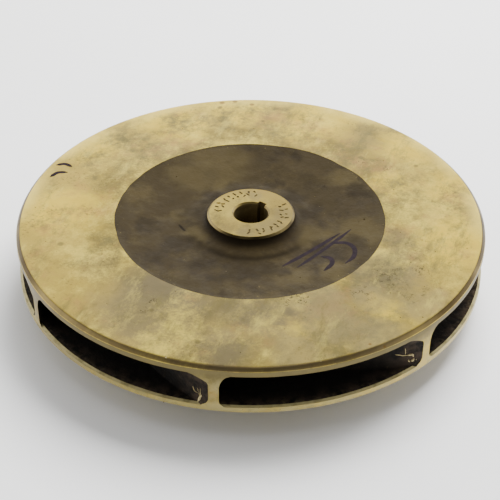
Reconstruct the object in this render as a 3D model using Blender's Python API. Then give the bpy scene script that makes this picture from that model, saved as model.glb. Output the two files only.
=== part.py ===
"""A closed centrifugal pump impeller in cast bronze, with seven backward-curved vanes.

It lies as it does on a bench: suction neck down on z = 0, keyed hub up. The origin is on the shaft
axis, in the plane of the neck's lower face, and the keyway is cut on the +Y side. The real impeller is
one casting. Here its hub, shrouds, neck and vanes are solids of their own, each SEAM from the next.
"""

from math import asin, cos, hypot, pi, radians, sin, sqrt, tan

import bmesh
import bpy

MM = 0.001
SEAM = 0.3 * MM

# Rim and back shroud
OUTER_R = 171.5 * MM
RIM_BOTTOM_Z = 22.0 * MM
RIM_HEIGHT = 37.3 * MM
RIM_CHAMFER = 2.2 * MM
FRONT_EDGE = 5.2 * MM
BACK_EDGE = 6.5 * MM
FACE_Z = RIM_BOTTOM_Z + RIM_HEIGHT
CAST_R = 99.1 * MM
CAST_STEP = 0.4 * MM
DISH_R = 47.5 * MM
DISH_Z = FACE_Z - 5.6 * MM
COLLAR_R = 44.0 * MM
COLLAR_Z = FACE_Z - 4.6 * MM

# Hub and keyed bore: a 1 inch shaft with a 1/4 inch key
BORE_R = 12.7 * MM
BORE_CHAMFER = 0.5 * MM
KEY_WIDTH = 6.35 * MM
KEY_TOP_Y = 15.6 * MM
HUB_R = 31.3 * MM
HUB_BASE_R = 33.0 * MM
HUB_CHAMFER = 0.5 * MM
HUB_Z = FACE_Z + 2.0 * MM
HUB_BASE_Z = COLLAR_Z + 1.2 * MM
NOSE_Z = 14.0 * MM
NOSE_CHAMFER = 1.2 * MM

# Flow surfaces: the ceiling is a quarter ellipse from the back shroud down to the hub's nose
CEILING_Z = FACE_Z - BACK_EDGE
CEILING_BEND_R = 85.0 * MM
NOSE_R = 26.0 * MM
NOSE_CURVE_Z = 16.0 * MM
FLOOR_RIM_Z = RIM_BOTTOM_Z + FRONT_EDGE
FLOOR_BEND_R = 80.0 * MM
FLOOR_BEND_Z = 26.0 * MM
THROAT_R = 64.0 * MM
THROAT_BEND = FLOOR_BEND_R - THROAT_R
THROAT_Z = FLOOR_BEND_Z - THROAT_BEND

# Suction neck's outside, and the foot where the front shroud meets it
NECK_R = 72.0 * MM
NECK_CHAMFER = 1.0 * MM
NECK_FILLET = FLOOR_BEND_R - NECK_R
SHROUD_FOOT_Z = 19.5 * MM

# Vanes
VANE_COUNT = 7
VANE_PHASE = radians(-62.1)
VANE_THICKNESS = 3.4 * MM
VANE_NOSE_THICKNESS = 1.8 * MM
VANE_NOSE_LENGTH = 9.0 * MM
OUTLET_ANGLE = radians(29.0)
INLET_ANGLE = radians(21.0)
INLET_R_FLOOR = 71.0 * MM
INLET_R_CEILING = 57.0 * MM
# Fillets where a vane meets the shrouds at the rim: run, rise and curve, from 1 for straight to 2 for round
LEADING_TOP_FILLET = (8.5 * MM, 12.0 * MM, 2.0)
TRAILING_TOP_FILLET = (14.0 * MM, 7.5 * MM, 1.2)
FOOT_FILLET = (2.0 * MM, 2.0 * MM, 2.0)

TURN_STEPS = 96
HUB_STEPS = 72
VANE_STATIONS = 26
VANE_LEVELS = (0.0, 0.03, 0.08, 0.5, 0.63, 0.74, 0.84, 0.93, 1.0)
CURVE_POINTS = 9


def ceiling_z(r):
    """Height of the flow passage's upper surface at radius r."""
    if r >= CEILING_BEND_R:
        return CEILING_Z
    reach = (CEILING_BEND_R - r) / (CEILING_BEND_R - NOSE_R)
    return NOSE_CURVE_Z + (CEILING_Z - NOSE_CURVE_Z) * sqrt(max(0.0, 1.0 - reach**2))


def floor_z(r):
    """Height of the flow passage's lower surface at radius r."""
    if r >= FLOOR_BEND_R:
        return FLOOR_BEND_Z + (FLOOR_RIM_Z - FLOOR_BEND_Z) * (r - FLOOR_BEND_R) / (OUTER_R - FLOOR_BEND_R)
    return THROAT_Z + sqrt(max(0.0, THROAT_BEND**2 - (FLOOR_BEND_R - r) ** 2))


def arc(centre_r, centre_z, radius, start, end, count):
    """Points (r, z) on an arc, angles in degrees from +r towards +z."""
    angles = [radians(start + (end - start) * i / (count - 1)) for i in range(count)]
    return [(centre_r + radius * cos(a), centre_z + radius * sin(a)) for a in angles]


def ceiling_curve(r_start, r_end, count):
    """Points (r, z) along the elliptical ceiling, spaced evenly in the ellipse's own angle."""
    span = CEILING_BEND_R - NOSE_R
    first = asin((CEILING_BEND_R - r_start) / span)
    last = asin((CEILING_BEND_R - r_end) / span)
    radii = [CEILING_BEND_R - span * sin(first + (last - first) * i / (count - 1)) for i in range(count)]
    return [(r, ceiling_z(r)) for r in radii]


def bronze(name, colour, roughness):
    material = bpy.data.materials.new(name)
    material.use_nodes = True
    shader = material.node_tree.nodes["Principled BSDF"]
    shader.inputs["Base Color"].default_value = (*colour, 1.0)
    shader.inputs["Metallic"].default_value = 1.0
    shader.inputs["Roughness"].default_value = roughness
    return material


def add_object(name, bm, material):
    mesh = bpy.data.meshes.new(name)
    bmesh.ops.recalc_face_normals(bm, faces=bm.faces)
    bm.to_mesh(mesh)
    bm.free()
    mesh.shade_smooth()
    mesh.set_sharp_from_angle(angle=radians(30))
    mesh.materials.append(material)
    made = bpy.data.objects.new(name, mesh)
    bpy.context.scene.collection.objects.link(made)
    return made


def turned(name, profile, steps, material):
    """A ring-shaped solid: a closed outline of (r, z) points, turned about the shaft axis."""
    bm = bmesh.new()
    corners = [bm.verts.new((r, 0.0, z)) for r, z in profile]
    edges = [bm.edges.new((corners[i - 1], corners[i])) for i in range(len(corners))]
    bmesh.ops.spin(
        bm,
        geom=corners + edges,
        cent=(0.0, 0.0, 0.0),
        axis=(0.0, 0.0, 1.0),
        angle=2 * pi,
        steps=steps,
        use_merge=True,
    )
    return add_object(name, bm, material)


def back_shroud(material):
    """The hub plate: a faced outer band with a chamfered edge, and a dished middle left as cast."""
    inner_r = DISH_R + SEAM
    outline = [
        (OUTER_R, CEILING_Z),
        (OUTER_R, FACE_Z - RIM_CHAMFER),
        (OUTER_R - RIM_CHAMFER, FACE_Z),
        (CAST_R, FACE_Z),
        (CAST_R - CAST_STEP, FACE_Z - CAST_STEP),
        ((CAST_R + DISH_R) / 2, (FACE_Z + DISH_Z) / 2 - CAST_STEP),
        (inner_r, DISH_Z),
        *ceiling_curve(inner_r, CEILING_BEND_R, CURVE_POINTS),
    ]
    return turned("back_shroud", outline, TURN_STEPS, material)


def keyway_cutter():
    """A bar as wide as the key, from inside the bore to the keyway's top, longer than the hub."""
    depth = KEY_TOP_Y
    length = 2 * (HUB_Z - NOSE_Z)
    bm = bmesh.new()
    bmesh.ops.create_cube(bm, size=1.0)
    bmesh.ops.scale(bm, vec=(KEY_WIDTH, depth, length), verts=bm.verts)
    bmesh.ops.translate(bm, vec=(0.0, depth / 2, (HUB_Z + NOSE_Z) / 2), verts=bm.verts)
    mesh = bpy.data.meshes.new("keyway_cutter")
    bm.to_mesh(mesh)
    bm.free()
    cutter = bpy.data.objects.new("keyway_cutter", mesh)
    cutter.hide_render = True
    cutter.display_type = "WIRE"
    bpy.context.scene.collection.objects.link(cutter)
    return cutter


def hub(material):
    """The keyed boss and the collar round it, flaring from the nose in the eye to the back shroud."""
    outline = [
        (BORE_R, HUB_Z - BORE_CHAMFER),
        (BORE_R + BORE_CHAMFER, HUB_Z),
        (HUB_R - HUB_CHAMFER, HUB_Z),
        (HUB_R, HUB_Z - HUB_CHAMFER),
        (HUB_BASE_R, HUB_BASE_Z),
        (COLLAR_R, COLLAR_Z),
        (DISH_R, DISH_Z),
        *ceiling_curve(DISH_R, NOSE_R, CURVE_POINTS),
        (NOSE_R, NOSE_Z + NOSE_CHAMFER),
        (NOSE_R - NOSE_CHAMFER, NOSE_Z),
        (BORE_R + BORE_CHAMFER, NOSE_Z),
        (BORE_R, NOSE_Z + BORE_CHAMFER),
    ]
    boss = turned("hub", outline, HUB_STEPS, material)
    cut = boss.modifiers.new("keyway", "BOOLEAN")
    cut.operation = "DIFFERENCE"
    cut.object = keyway_cutter()
    return boss


def front_shroud(material):
    """The cover plate on the suction side, a shallow cone from the neck out to the rim."""
    inner_r = FLOOR_BEND_R + SEAM
    outline = [
        (OUTER_R, FLOOR_RIM_Z),
        (OUTER_R, RIM_BOTTOM_Z),
        (inner_r, SHROUD_FOOT_Z),
        (inner_r, FLOOR_BEND_Z),
    ]
    return turned("front_shroud", outline, TURN_STEPS, material)


def suction_neck(material):
    """The turned land that runs in the casing's wear ring, and the bend from it into the shroud."""
    outline = [
        (NECK_R - NECK_CHAMFER, 0.0),
        (NECK_R, NECK_CHAMFER),
        *arc(FLOOR_BEND_R, SHROUD_FOOT_Z - NECK_FILLET, NECK_FILLET, 180, 90, CURVE_POINTS - 3),
        *arc(FLOOR_BEND_R, THROAT_Z, THROAT_BEND, 90, 180, CURVE_POINTS),
        (THROAT_R, 0.0),
    ]
    return turned("suction_neck", outline, TURN_STEPS, material)


def vane_line(stations):
    """(radius, angle behind the vane's outer end, vane angle) for each radius, from the rim inwards."""
    line = []
    turn = 0.0
    previous = stations[0]
    for r in stations:
        share = (r - INLET_R_CEILING) / (OUTER_R - INLET_R_CEILING)
        slope = INLET_ANGLE + (OUTLET_ANGLE - INLET_ANGLE) * share
        turn += 2 * (previous - r) / (previous + r) / tan(slope)
        line.append((r, turn, slope))
        previous = r
    return line


def vane_turn(line, r):
    """The vane's angle behind its outer end, and its own angle, at any radius on its line."""
    for (r0, turn0, slope0), (r1, turn1, slope1) in zip(line, line[1:]):
        if r >= r1:
            share = (r0 - r) / (r0 - r1)
            return turn0 + (turn1 - turn0) * share, slope0 + (slope1 - slope0) * share
    return line[-1][1:]


def fillet_run(fillet, height):
    """How far a fillet stands out from the vane's side at a height above or below the shroud."""
    run, rise, curve = fillet
    if height >= rise:
        return 0.0
    return run * (1.0 - (1.0 - (1.0 - height / rise) ** curve) ** (1.0 / curve))


def vane_thickness(from_nose):
    """The vane thins to a rounded nose over the last stretch before its inlet edge."""
    if from_nose >= VANE_NOSE_LENGTH:
        return VANE_THICKNESS
    share = max(0.0, from_nose / VANE_NOSE_LENGTH)
    return VANE_NOSE_THICKNESS + (VANE_THICKNESS - VANE_NOSE_THICKNESS) * sqrt(1.0 - (1.0 - share) ** 2)


def vane_section(line, station, outlet_turn):
    """Rows of three points across the vane, trailing side, middle and leading side, floor to ceiling."""
    rows = []
    for level in VANE_LEVELS:
        inlet_r = INLET_R_FLOOR + (INLET_R_CEILING - INLET_R_FLOOR) * level
        r = OUTER_R * (inlet_r / OUTER_R) ** station
        low = floor_z(r) + SEAM
        high = ceiling_z(r) - SEAM
        z = low + (high - low) * level
        turn, slope = vane_turn(line, r)
        middle = outlet_turn - turn
        half = vane_thickness(r - inlet_r) / sin(slope) / 2
        spread = r / OUTER_R
        foot = fillet_run(FOOT_FILLET, z - low)
        ahead = half + spread * (foot + fillet_run(LEADING_TOP_FILLET, high - z))
        behind = half + spread * (foot + fillet_run(TRAILING_TOP_FILLET, high - z))
        turns = (middle - behind / r, middle, middle + ahead / r)
        rows.append([(r * cos(a), r * sin(a), z) for a in turns])
    return rows


def vane(number, line, material):
    """A backward-curved vane between the shrouds, lofted from the rim to its slanted inlet edge."""
    outlet_turn = VANE_PHASE + 2 * pi * number / VANE_COUNT
    sections = [vane_section(line, i / VANE_STATIONS, outlet_turn) for i in range(VANE_STATIONS + 1)]
    last = len(VANE_LEVELS) - 1
    bm = bmesh.new()
    verts = {}

    def face(*places):
        for place in places:
            if place not in verts:
                station, level, side = place
                verts[place] = bm.verts.new(sections[station][level][side])
        bm.faces.new([verts[place] for place in places])

    for i in range(VANE_STATIONS):
        for j in range(last):
            face((i, j, 2), (i + 1, j, 2), (i + 1, j + 1, 2), (i, j + 1, 2))
            face((i, j, 0), (i, j + 1, 0), (i + 1, j + 1, 0), (i + 1, j, 0))
        for side in (0, 1):
            face((i, last, side), (i, last, side + 1), (i + 1, last, side + 1), (i + 1, last, side))
            face((i, 0, side), (i + 1, 0, side), (i + 1, 0, side + 1), (i, 0, side + 1))
    for j in range(last):
        for side in (0, 1):
            face((0, j, side), (0, j, side + 1), (0, j + 1, side + 1), (0, j + 1, side))
            end = VANE_STATIONS
            face((end, j, side), (end, j + 1, side), (end, j + 1, side + 1), (end, j, side + 1))
    return add_object(f"vane_{number + 1}", bm, material)


def main():
    for old in list(bpy.data.objects):
        bpy.data.objects.remove(old, do_unlink=True)
    machined = bronze("machined_bronze", (0.47, 0.38, 0.19), 0.38)
    cast = bronze("cast_bronze", (0.12, 0.088, 0.045), 0.6)
    hub(machined)
    back_shroud(machined)
    front_shroud(machined)
    suction_neck(machined)
    radii = [OUTER_R + (INLET_R_CEILING - OUTER_R) * i / 60 for i in range(61)]
    line = vane_line(radii)
    for number in range(VANE_COUNT):
        vane(number, line, cast)


main()
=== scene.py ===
from math import cos, hypot, pi, radians, sin, sqrt, tan

import bmesh
import bpy
from mathutils import Matrix, Vector
from mathutils.bvhtree import BVHTree


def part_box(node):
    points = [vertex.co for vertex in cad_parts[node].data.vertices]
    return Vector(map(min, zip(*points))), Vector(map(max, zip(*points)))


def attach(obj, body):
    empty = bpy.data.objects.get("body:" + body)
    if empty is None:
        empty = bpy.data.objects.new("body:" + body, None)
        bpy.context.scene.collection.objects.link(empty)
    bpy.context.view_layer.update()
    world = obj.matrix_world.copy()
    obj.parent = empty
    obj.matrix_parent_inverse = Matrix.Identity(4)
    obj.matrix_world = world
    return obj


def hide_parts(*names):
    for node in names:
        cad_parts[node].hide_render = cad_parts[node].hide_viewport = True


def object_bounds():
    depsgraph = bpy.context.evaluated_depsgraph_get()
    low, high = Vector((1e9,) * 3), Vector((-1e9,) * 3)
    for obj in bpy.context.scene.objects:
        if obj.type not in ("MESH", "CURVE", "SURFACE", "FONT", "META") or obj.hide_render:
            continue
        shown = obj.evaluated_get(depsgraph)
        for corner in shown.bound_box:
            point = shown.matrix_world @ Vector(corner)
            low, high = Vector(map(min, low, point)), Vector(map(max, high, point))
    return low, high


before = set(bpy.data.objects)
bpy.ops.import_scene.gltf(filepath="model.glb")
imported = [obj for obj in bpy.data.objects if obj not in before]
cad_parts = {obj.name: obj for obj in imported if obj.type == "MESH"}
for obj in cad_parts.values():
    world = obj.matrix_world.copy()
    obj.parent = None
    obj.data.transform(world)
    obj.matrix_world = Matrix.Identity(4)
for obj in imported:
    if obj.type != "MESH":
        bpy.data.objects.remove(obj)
cad_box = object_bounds()

# A cast bronze pump impeller, made the way a foundry and a lathe make it. Two turned blanks and a ring
# of vanes are joined into a rough casting with an uneven skin. Turning tools then take off the rim, the
# faces, the bore and the neck, and each tool leaves its own finish on what it cuts. Punch marks, gas pits
# and dents follow, and last the fins from cracks in the core and the inspector's ink.

MM = 0.001

# Sizes that the frame gives
RIM_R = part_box("back_shroud")[1].x
FACE_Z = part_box("back_shroud")[1].z
HUB_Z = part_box("hub")[1].z
NOSE_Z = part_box("hub")[0].z
NECK_FOOT_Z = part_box("front_shroud")[0].z

# Sizes of the turned surfaces
RIM_BOTTOM_Z = 22.0 * MM
RIM_CHAMFER = 2.5 * MM
# The rim's chamfer with its two edges worn round: (in from the rim, down from the face) in mm
RIM_CHAMFER_PROFILE = (
    (0, 3.2), (0.1, 2.75), (0.32, 2.3), (0.62, 1.88),
    (1.88, 0.62), (2.3, 0.32), (2.75, 0.1), (3.2, 0), (3.8, 0),
)
RIM_LOWER_CHAMFER = 0.5 * MM
FACED_TO_R = 56 * MM
HUB_R = 31.3 * MM
HUB_CHAMFER = 0.5 * MM
BORE_R = 12.7 * MM
BORE_CHAMFER = 1.2 * MM
KEY_WIDTH = 6.35 * MM
KEY_TOP_Y = 15.6 * MM
NECK_R = 72.0 * MM
NECK_TURNED_TO_Z = 11.0 * MM
NECK_CHAMFER = 1.0 * MM
THROAT_CHAMFER = 0.6 * MM
NOSE_R = 26.0 * MM
NOSE_CHAMFER = 1.2 * MM
FRONT_TURNED_FROM_R = 146.0 * MM

# Sizes of the cast surfaces
ALLOWANCE = 1.5 * MM
CAST_TILT = (0.0003, 0.0026)
HUB_BLANK_R = 31.9 * MM
COLLAR_R = 42 * MM
COLLAR_REACH = 8 * MM
COLLAR_LEAN = 0.45 * MM
COLLAR_SIDE = radians(30)
CEILING_Z = 52.8 * MM
CEILING_BEND_R = 85.0 * MM
NOSE_CURVE_Z = 16.0 * MM
FLOOR_RIM_Z = 27.2 * MM
FLOOR_BEND_R = 80.0 * MM
FLOOR_BEND_Z = 26.0 * MM
THROAT_R = 64.0 * MM
THROAT_BEND = FLOOR_BEND_R - THROAT_R
THROAT_Z = FLOOR_BEND_Z - THROAT_BEND
LIP_LENGTH = 1.8 * MM
LIP_DROP = 1.0 * MM

# The cast dish round the hub, from under the turned face in to the hub: (r, height over the face) in mm
DISH_PROFILE = (
    (110, 1.4), (103, 0.75), (101, 0.4), (99.3, 0.0), (98.0, -0.3), (96, -0.55), (93, -0.85), (89, -1.3),
    (81, -2.1), (73, -3.0), (66, -3.95), (60, -4.7), (55.5, -5.2), (52, -5.45), (49.5, -5.5),
    (47.6, -5.35), (46, -5.1), (44.4, -4.85), (42.5, -4.7), (40.5, -4.65), (38.2, -4.65), (36.2, -4.4),
    (34.6, -3.8), (33.5, -2.9), (32.8, -1.7), (32.3, 0.0),
)

# Vanes. A fillet is its run, its rise and its curve, from 1 for straight to 2 for round
VANE_COUNT = 7
VANE_WANDER = radians(0.85)
VANE_PHASE = radians(-62.1)
VANE_THICKNESS = 3.4 * MM
VANE_NOSE_THICKNESS = 1.8 * MM
VANE_NOSE_LENGTH = 9.0 * MM
OUTLET_ANGLE = radians(29.0)
INLET_ANGLE = radians(21.0)
INLET_R_FLOOR = 71.0 * MM
INLET_R_CEILING = 57.0 * MM
LEADING_TOP_FILLET = (8.5 * MM, 12.0 * MM, 2.0)
TRAILING_TOP_FILLET = (14.0 * MM, 7.5 * MM, 1.2)
LEADING_FOOT_FILLET = (3.2 * MM, 3.6 * MM, 2.0)
TRAILING_FOOT_FILLET = (5.0 * MM, 5.5 * MM, 2.0)
FILLET_SINK = 0.12 * MM
VANE_ROOT = 2.5 * MM

# How finely the shapes are divided
TURN_STEPS = 360
TOOL_STEP = 6 * MM
BLANK_STEPS = 300
BAND_STEPS = 120
SKIN_STEP = 2.6 * MM
CEILING_STEPS = 30
VANE_LINE_STEPS = 80
VANE_STATIONS = 44
VANE_LEVELS = 22


def feed(tree, node, values):
    """Gives inputs of a node a constant, or links them to a socket or to the first output of a node."""
    for key, value in values.items():
        if isinstance(value, bpy.types.Node):
            value = value.outputs[0]
        if isinstance(value, bpy.types.NodeSocket):
            tree.links.new(value, node.inputs[key])
        else:
            node.inputs[key].default_value = value
    return node


def add(tree, kind, values=None, **settings):
    """Adds a node to a tree, with its settings and what feeds its inputs."""
    made = tree.nodes.new(kind)
    for name, setting in settings.items():
        setattr(made, name, setting)
    return feed(tree, made, values or {})


def srgb(code):
    """A hex colour as linear red, green, blue and alpha."""
    channels = [int(code[i : i + 2], 16) / 255 for i in (1, 3, 5)]
    return (*[c / 12.92 if c <= 0.04045 else ((c + 0.055) / 1.055) ** 2.4 for c in channels], 1.0)


# Shapes: the blanks and the vane as they leave the mould


def ceiling_z(r):
    """Height of the flow passage's upper surface at radius r."""
    if r >= CEILING_BEND_R:
        return CEILING_Z
    reach = (CEILING_BEND_R - r) / (CEILING_BEND_R - NOSE_R)
    return NOSE_CURVE_Z + (CEILING_Z - NOSE_CURVE_Z) * sqrt(max(0.0, 1.0 - reach**2))


def floor_z(r):
    """Height of the flow passage's lower surface at radius r."""
    if r >= FLOOR_BEND_R:
        return FLOOR_BEND_Z + (FLOOR_RIM_Z - FLOOR_BEND_Z) * (r - FLOOR_BEND_R) / (RIM_R - FLOOR_BEND_R)
    return THROAT_Z + sqrt(max(0.0, THROAT_BEND**2 - (FLOOR_BEND_R - r) ** 2))


def front_cone_z(r):
    """Height of the front shroud's outside, a shallow cone."""
    return NECK_FOOT_Z + (RIM_BOTTOM_Z - NECK_FOOT_Z) * (r - FLOOR_BEND_R) / (RIM_R - FLOOR_BEND_R)


def arc(centre_r, centre_z, radius, start, end, count):
    """Points (r, z) on an arc, angles in degrees from +r towards +z."""
    angles = [radians(start + (end - start) * i / (count - 1)) for i in range(count)]
    return [(centre_r + radius * cos(a), centre_z + radius * sin(a)) for a in angles]


def refined(outline, step):
    """The same closed outline of (r, z, slot) with no stretch longer than step."""
    points = []
    for i, (r, z, slot) in enumerate(outline):
        next_r, next_z, _ = outline[(i + 1) % len(outline)]
        count = max(1, round(hypot(next_r - r, next_z - z) / step))
        points += [(r + (next_r - r) * k / count, z + (next_z - z) * k / count, slot) for k in range(count)]
    return points


def put(name, data):
    """Puts a new object with its data in the scene."""
    made = bpy.data.objects.new(name, data)
    bpy.context.scene.collection.objects.link(made)
    return made


def new_object(name, bm, materials):
    """A piece from a bmesh, with its faces turned outwards."""
    bmesh.ops.recalc_face_normals(bm, faces=bm.faces)
    mesh = bpy.data.meshes.new(name)
    bm.to_mesh(mesh)
    bm.free()
    for material in materials:
        mesh.materials.append(material)
    return put(name, mesh)


def ring_of(bm, r, z, steps):
    """Points all round the axis."""
    angles = [2 * pi * k / steps for k in range(steps)]
    return [bm.verts.new((r * cos(a), r * sin(a), z)) for a in angles]


def bridge(bm, near, far, first=0):
    """Faces between two rows of points. Counted from point 0 they close a ring, and from 1 a strip."""
    corners = [(near[k - 1], near[k], far[k], far[k - 1]) for k in range(first, len(near))]
    return [bm.faces.new(dict.fromkeys(corner)) for corner in corners]


def turned(name, outline, steps, materials):
    """A solid of revolution from a closed outline of (r, z, slot of the stretch that starts there)."""
    bm = bmesh.new()
    rings = []
    for r, z, _ in outline:
        rings.append([bm.verts.new((0.0, 0.0, z))] * steps if r == 0.0 else ring_of(bm, r, z, steps))
    for i, (r, z, slot) in enumerate(outline):
        onward = (i + 1) % len(rings)
        if r == 0.0 and outline[onward][0] == 0.0:
            continue
        for face in bridge(bm, rings[i], rings[onward]):
            face.material_index = slot
            face.smooth = True
    return new_object(name, bm, materials)


def back_blank(skins):
    """The hub and back shroud as they leave the mould. Slot 0 is the outer skin and slot 1 the cored one."""
    lift = ALLOWANCE
    outline = [(BORE_R - lift, NOSE_Z - lift, 0), (NOSE_R, NOSE_Z - lift, 1), (NOSE_R, NOSE_CURVE_Z, 1)]
    for i in range(1, CEILING_STEPS + 1):
        r = CEILING_BEND_R - (CEILING_BEND_R - NOSE_R) * cos(pi / 2 * i / CEILING_STEPS)
        outline.append((r, ceiling_z(r), 1))
    outline += [(RIM_R + lift, CEILING_Z, 0), (RIM_R + lift, FACE_Z + lift, 0)]
    outline += [(r * MM, FACE_Z + rise * MM, 0) for r, rise in DISH_PROFILE]
    outline += [(HUB_BLANK_R, HUB_Z + lift, 0), (BORE_R - lift, HUB_Z + lift, 0)]
    blank = turned("back_blank", refined(outline, SKIN_STEP), BLANK_STEPS, skins)
    # The casting sat a little tilted in the lathe, so the turned face runs out of true with the dish,
    # and the collar round the hub stands higher on one side
    outside = CEILING_Z + 0.3 * MM
    for vertex in blank.data.vertices:
        if vertex.co.z > outside:
            vertex.co.z += vertex.co.x * CAST_TILT[0] + vertex.co.y * CAST_TILT[1]
            r = hypot(vertex.co.x, vertex.co.y)
            lean = COLLAR_LEAN * max(0.0, 1.0 - abs(r - COLLAR_R) / COLLAR_REACH)
            sideways = vertex.co.x * sin(COLLAR_SIDE) - vertex.co.y * cos(COLLAR_SIDE)
            vertex.co.z += lean * sideways / max(r, MM)
    return blank


def front_blank(skins):
    """The front shroud and suction neck as they leave the mould. Slot 2 is the lip that is filed back."""
    lift = ALLOWANCE
    fillet = FLOOR_BEND_R - NECK_R
    corner = arc(FLOOR_BEND_R, NECK_FOOT_Z - fillet + 0.3 * MM, fillet - 0.2 * MM, 180, 96, 9)
    outline = [(THROAT_R, -lift, 0), (NECK_R + lift / 2, -lift, 0), *((r, z, 0) for r, z in corner)]
    for r, rise in ((FRONT_TURNED_FROM_R - 12 * MM, 0.4), (FRONT_TURNED_FROM_R, 0.0), (154 * MM, -0.8)):
        outline.append((r, front_cone_z(r) + rise * MM, 0))
    outline += [
        (RIM_R + lift, RIM_BOTTOM_Z - lift, 0),
        (RIM_R + lift, FLOOR_RIM_Z - LIP_DROP * (1 + lift / LIP_LENGTH), 2),
        (RIM_R - LIP_LENGTH, floor_z(RIM_R - LIP_LENGTH), 1),
        *((r, z, 1) for r, z in arc(FLOOR_BEND_R, THROAT_Z, THROAT_BEND, 90, 180, 15)),
    ]
    return turned("front_blank", refined(outline, SKIN_STEP), BLANK_STEPS, skins)


def vane_line():
    """(radius, angle behind the vane's outer end, vane angle), from outside the rim inwards."""
    line = []
    turn = 0.0
    outside = RIM_R + 2 * ALLOWANCE
    previous = RIM_R
    for i in range(VANE_LINE_STEPS + 1):
        r = outside + (INLET_R_CEILING - outside) * i / VANE_LINE_STEPS
        share = (r - INLET_R_CEILING) / (RIM_R - INLET_R_CEILING)
        slope = INLET_ANGLE + (OUTLET_ANGLE - INLET_ANGLE) * share
        turn += 2 * (previous - r) / (previous + r) / tan(slope)
        line.append((r, turn, slope))
        previous = r
    return line


def vane_turn(line, r):
    """The vane's angle behind its outer end, and its own angle, at any radius on its line."""
    for (r0, turn0, slope0), (r1, turn1, slope1) in zip(line, line[1:]):
        if r >= r1:
            share = (r0 - r) / (r0 - r1)
            return turn0 + (turn1 - turn0) * share, slope0 + (slope1 - slope0) * share
    return line[-1][1:]


def fillet_run(fillet, height):
    """How far a fillet stands out from the vane's side at a height from the shroud, less its sink."""
    run, rise, curve = fillet
    share = min(1.0, max(0.0, (height + FILLET_SINK) / (rise + FILLET_SINK)))
    return run * (1.0 - (1.0 - (1.0 - share) ** curve) ** (1.0 / curve))


def vane_thickness(from_nose):
    """The vane thins to a rounded nose over the last stretch before its inlet edge."""
    share = min(1.0, max(0.0, from_nose / VANE_NOSE_LENGTH))
    return VANE_NOSE_THICKNESS + (VANE_THICKNESS - VANE_NOSE_THICKNESS) * sqrt(1.0 - (1.0 - share) ** 2)


def vane_section(line, station):
    """Rows of points across the vane at one station, trailing side then leading side, root to root."""
    rows = []
    for j in range(VANE_LEVELS + 1):
        share = (1 - cos(pi * j / VANE_LEVELS)) / 2
        inlet_r = INLET_R_FLOOR + (INLET_R_CEILING - INLET_R_FLOOR) * share
        outside = RIM_R + ALLOWANCE
        r = outside * (inlet_r / outside) ** station
        low = floor_z(min(r, RIM_R))
        high = ceiling_z(r)
        z = low - VANE_ROOT + (high - low + 2 * VANE_ROOT) * share
        turn, slope = vane_turn(line, r)
        half = vane_thickness(r - inlet_r) / sin(slope) / 2
        spread = r / RIM_R
        ahead = fillet_run(LEADING_FOOT_FILLET, z - low) + fillet_run(LEADING_TOP_FILLET, high - z)
        behind = fillet_run(TRAILING_FOOT_FILLET, z - low) + fillet_run(TRAILING_TOP_FILLET, high - z)
        trailing = VANE_PHASE - turn - (half + spread * behind) / r
        leading = VANE_PHASE - turn + (half + spread * ahead) / r
        rows.append([(r * cos(a), r * sin(a), z) for a in (trailing, leading)])
    return rows


def vane_blank(skins):
    """One vane with its fillets, its roots sunk into the shrouds and its outer end past the rim."""
    line = vane_line()
    bm = bmesh.new()
    sections = [vane_section(line, i / VANE_STATIONS) for i in range(VANE_STATIONS + 1)]
    grid = [[[bm.verts.new(p) for p in row] for row in section] for section in sections]
    for near, far in zip(grid, grid[1:]):
        for (low_a, low_b), (high_a, high_b) in zip(zip(near, far), zip(near[1:], far[1:])):
            bm.faces.new((low_a[0], high_a[0], high_b[0], low_b[0]))
            bm.faces.new((low_a[1], low_b[1], high_b[1], high_a[1]))
        bm.faces.new((near[0][0], far[0][0], far[0][1], near[0][1]))
        bm.faces.new((near[-1][0], near[-1][1], far[-1][1], far[-1][0]))
    for section in (grid[0], grid[-1]):
        for low, high in zip(section, section[1:]):
            bm.faces.new((low[0], low[1], high[1], high[0]))
    for face in bm.faces:
        face.material_index = 1
        face.smooth = True
    return new_object("vane_blank", bm, skins)


# Geometry Nodes: what repeats round the shaft, and the unevenness that sand leaves


def new_tree(name, inputs):
    """A Geometry Nodes tree with its inputs by name and default. The one without a default is a material."""
    tree = bpy.data.node_groups.new(name, "GeometryNodeTree")
    for direction in ("INPUT", "OUTPUT"):
        tree.interface.new_socket("Geometry", in_out=direction, socket_type="NodeSocketGeometry")
    kinds = {int: "NodeSocketInt", float: "NodeSocketFloat", type(None): "NodeSocketMaterial"}
    for label, value in inputs.items():
        socket = tree.interface.new_socket(label, in_out="INPUT", socket_type=kinds[type(value)])
        if value is not None:
            socket.default_value = value
    return tree, add(tree, "NodeGroupInput").outputs


def instanced(tree, given, values):
    """Ends a tree with instances on points, made real and given their skin."""
    instances = add(tree, "GeometryNodeInstanceOnPoints", values)
    real = add(tree, "GeometryNodeRealizeInstances", {0: instances})
    skinned = add(tree, "GeometryNodeSetMaterial", {"Geometry": real, "Material": given["Skin"]})
    add(tree, "NodeGroupOutput", {0: skinned})
    return tree


def baked(target):
    """Replaces an object's mesh by what its modifiers make of it, and takes the modifiers away."""
    bpy.context.view_layer.update()
    shown = target.evaluated_get(bpy.context.evaluated_depsgraph_get())
    mesh = bpy.data.meshes.new_from_object(shown)
    target.modifiers.clear()
    target.data = mesh
    mesh.name = target.name
    return target


def apply_tree(target, tree, values):
    """Puts a tree on an object with values for its named inputs, and keeps the result as a plain mesh."""
    modifier = target.modifiers.new(tree.name, "NODES")
    modifier.node_group = tree
    for item in tree.interface.items_tree:
        if item.in_out == "INPUT" and item.name in values:
            modifier[item.identifier] = values[item.name]
    return baked(target)


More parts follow.
